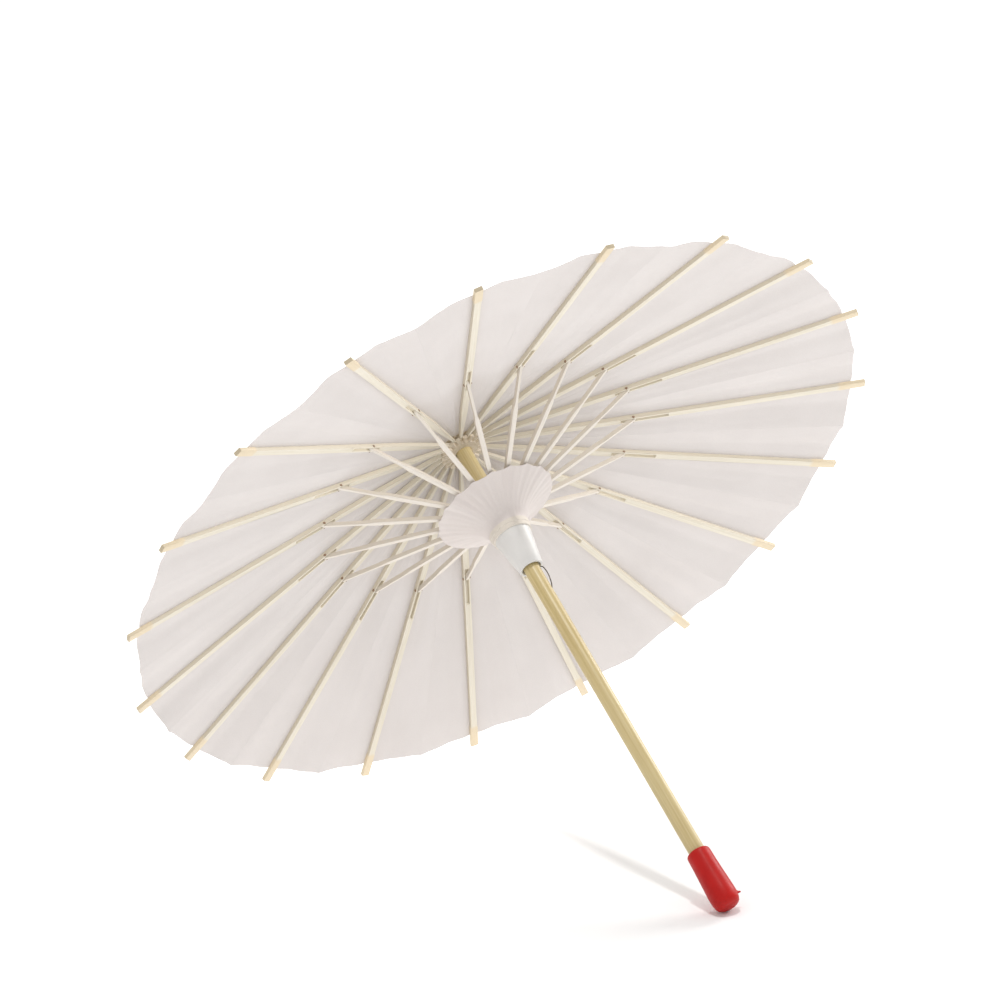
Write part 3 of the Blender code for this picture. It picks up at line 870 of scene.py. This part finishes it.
def knot_mesh(name, place, centre, half_width):
    """Two small thread knots, one on each side of a rib where its pin comes out."""
    points = []
    faces = []
    rings, sides = 5, 10
    for side in (-1, 1):
        base = len(points)
        for ring in range(rings):
            bulge = math.sin(math.pi * (ring + 0.6) / (rings + 0.2))
            for step in range(sides):
                angle = 2 * math.pi * step / sides + ring * 0.4
                radius = (0.25 + 0.5 * bulge) * MM * (1 + 0.12 * math.sin(3 * angle))
                points.append((centre[0] + radius * math.cos(angle),
                               side * (half_width + (0.14 * ring - 0.1) * MM),
                               centre[1] + radius * math.sin(angle)))
        for ring in range(rings - 1):
            for step in range(sides):
                after = (step + 1) % sides
                start = base + ring * sides
                faces.append((start + step, start + after, start + sides + after, start + sides + step))
        faces.append(tuple(base + step for step in range(sides)))
        faces.append(tuple(base + (rings - 1) * sides + step for step in range(sides)))
    return mesh_of(name, points, faces, place)


def add_knots():
    for index in range(RIB_COUNT):
        place = part_frame("rib", index)
        pin = place.inverted() @ Vector(joint_named(f"stretcher_{index + 1:02d}_fold")["pos_m"])
        mesh = knot_mesh(f"pin_knots_{index + 1:02d}", place, (pin.x, pin.z), RIB_HALF_WIDTH)
        made = link(mesh.name, mesh, THREAD)
        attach(made, f"rib_{index + 1:02d}_body")


# ---------------------------------------------------------------- centre

def open_mouth(point):
    """Widen the bottom of the runner's bore, as the draft of its mould leaves it."""
    radius = math.hypot(point.x, point.y)
    if point.z > SLEEVE_FOOT + MM or radius == 0:
        return point
    wider = MOUTH_RADIUS if radius < MOUTH_EDGE else SLEEVE_END_RADIUS
    return Vector((point.x * wider / radius, point.y * wider / radius, SLEEVE_FOOT))


def add_centre():
    shaft = refined("shaft", UMBRELLA, 0.15 * MM, HONEY, 30)
    hub = refined("upper_hub", UMBRELLA, 0.15 * MM, PALE_WOOD, 30)
    finial = refined("finial", UMBRELLA, 0.1 * MM, PALE_WOOD, 40)
    runner = refined("runner", UMBRELLA, 0.15 * MM, PLASTIC, 30, open_mouth)
    for node in ("hub_wire_ring", "runner_wire_ring"):
        ring = refined(node, UMBRELLA, 0, WIRE, 80)


def add_band():
    """The paper band wound twice round the runner, with the wound edge showing."""
    inner = [(9.2, -58.1), (10.0, -58.1), (10.22, -57.9), (10.32, -56.2), (10.32, -55.9),
             (10.56, -55.7)]
    outer = [(10.7, -54.2), (10.75, -53.6), (10.5, -53.4), (9.2, -53.4)]
    outline = [(radius * MM, height * MM) for radius, height in inner + outer]
    made = link("band_wound", turned("band_wound", outline, 96), BAND_PAPER, 40)
    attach(made, "runner")
    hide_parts("runner_band")


def cap_outline():
    """The red cap: a moulded sleeve, widest near its foot, with a rounded end."""
    foot = [(0, 0), (3.0, 0.0), (4.4, 0.25), (5.2, 0.7), (5.8, 1.25), (6.3, 2.4), (6.6, 4.2),
            (6.75, 6.5)]
    side = [(6.7, 8.6), (6.62, 10.5), (6.45, 14), (6.2, 19), (6.0, 24), (5.9, 28), (5.86, 29.6)]
    lip = [(5.75, 30.4), (5.45, 30.85), (5.0, 31.0), (4.5, 30.95), (4.25, 30.6), (4.25, 6.0), (0, 6.0)]
    return [(radius * MM, HANDLE_END + height * MM) for radius, height in foot + side + lip]


def add_cap():
    """The handle cap with the stub of its moulding sprue."""
    cap = link("cap_moulded", turned("cap_moulded", cap_outline(), 96), RED, 50)
    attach(cap, "root")
    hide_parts("handle_cap")
    profile = [(0, 0), (1.4, 0), (1.2, 0.5), (0.75, 1.0), (0.5, 1.5), (0.42, 2.1), (0.25, 2.4),
               (0, 2.45)]
    place = polar(SPRUE_RADIUS, SPRUE_AZIMUTH, HANDLE_END + SPRUE_HEIGHT)
    sideways = Matrix.Rotation(SPRUE_AZIMUTH, 4, "Z") @ Matrix.Rotation(SPRUE_TURN, 4, "Y")
    mesh = turned("cap_sprue", [(radius * MM, height * MM) for radius, height in profile], 20)
    mesh.transform(UMBRELLA @ Matrix.Translation(place) @ sideways @ INTO_UMBRELLA)
    sprue = link("cap_sprue", mesh, RED, 60)
    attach(sprue, "root")


def add_catch():
    """The bent spring wire, as a smooth round wire."""
    joint = joint_named("catch_press")
    anchor = INTO_UMBRELLA @ Vector(joint["pos_m"])
    azimuth = math.atan2(anchor.y, anchor.x)
    bow = [(0, 0), (1.3, 0.6), (2.4, 2.6), (3.2, 5.6), (3.6, 9.0), (3.5, 12.0), (3.0, 13.9),
           (1.8, 14.8), (0.6, 14.9)]
    curve = bpy.data.curves.new("catch_bent_wire", "CURVE")
    curve.dimensions = "3D"
    curve.bevel_depth = CATCH_WIRE_RADIUS
    curve.bevel_resolution = 4
    curve.resolution_u = 12
    curve.use_fill_caps = True
    spline = curve.splines.new("BEZIER")
    spline.bezier_points.add(len(bow) - 1)
    turn = Matrix.Rotation(azimuth, 4, "Z")
    for point, (out, up) in zip(spline.bezier_points, bow):
        place = UMBRELLA @ (anchor + turn.to_3x3() @ Vector((out * MM, 0, up * MM)))
        point.co = place
        point.handle_left_type = "AUTO"
        point.handle_right_type = "AUTO"
    made = bpy.data.objects.new("catch_bent_wire", curve)
    bpy.context.scene.collection.objects.link(made)
    curve.materials.append(WIRE)
    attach(made, "catch")
    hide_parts("catch_wire")


# ---------------------------------------------------------------- studio

def add_camera():
    data = bpy.data.cameras.new("studio_camera")
    data.lens = CAMERA_LENS
    data.sensor_width = 36
    data.clip_end = 100
    camera = bpy.data.objects.new("studio_camera", data)
    bpy.context.scene.collection.objects.link(camera)
    level = math.cos(CAMERA_ELEVATION)
    forward = Vector((level * math.sin(CAMERA_AZIMUTH), level * math.cos(CAMERA_AZIMUTH),
                      -math.sin(CAMERA_ELEVATION)))
    right = forward.cross(Vector((0, 0, 1))).normalized()
    up = right.cross(forward)
    turn = Matrix((right, up, -forward)).transposed().to_4x4()
    turn = turn @ Matrix.Rotation(-CAMERA_ROLL, 4, "Z")
    turn.translation = Vector(CAMERA_TARGET) - forward * CAMERA_DISTANCE
    camera.matrix_world = turn
    bpy.context.scene.camera = camera


def add_area_light(name, place, target, size, power):
    data = bpy.data.lights.new(name, "AREA")
    data.shape = "DISK"
    data.size = size
    data.energy = power
    light = bpy.data.objects.new(name, data)
    bpy.context.scene.collection.objects.link(light)
    light.location = place
    light.rotation_euler = (Vector(target) - Vector(place)).to_track_quat("-Z", "Y").to_euler()
    return light


def keep_paper_clear(light):
    """Only the shaft, its fittings, the stretchers and the fan throw a shadow from this light."""
    blockers = bpy.data.collections.new(light.name + "_blockers")
    for item in bpy.context.scene.objects:
        if item.type in ("MESH", "CURVE") and item.name.startswith(SHADOW_PIECES):
            blockers.objects.link(item)
    light.light_linking.blocker_collection = blockers


def add_studio():
    mesh = bpy.data.meshes.new("studio_floor")
    near, far = -FLOOR_REACH, FLOOR_REACH
    mesh.from_pydata([(near, near, 0), (far, near, 0), (far, far, 0), (near, far, 0)], [], [(0, 1, 2, 3)])
    floor = bpy.data.objects.new("studio_floor", mesh)
    bpy.context.scene.collection.objects.link(floor)
    mesh.materials.append(floor_material())
    world = bpy.data.worlds.new("studio_world")
    bpy.context.scene.world = world
    world.use_nodes = True
    sky = world.node_tree.nodes["Background"]
    sky.inputs["Color"].default_value = SKY_COLOUR
    sky.inputs["Strength"].default_value = SKY_STRENGTH
    key = add_area_light("right_softbox", SOFTBOX_PLACE, LIGHT_TARGET, SOFTBOX_SIZE, SOFTBOX_POWER)
    top = add_area_light("top_lamp", TOP_LAMP_PLACE, LIGHT_TARGET, TOP_LAMP_SIZE, TOP_LAMP_POWER)
    keep_paper_clear(top)
    keep_paper_clear(key)
    bpy.context.scene.view_settings.view_transform = "Standard"


add_camera()
add_canopy()
add_fan()
add_crown()
add_ribs()
add_knots()
add_centre()
add_band()
add_cap()
add_catch()
add_studio()
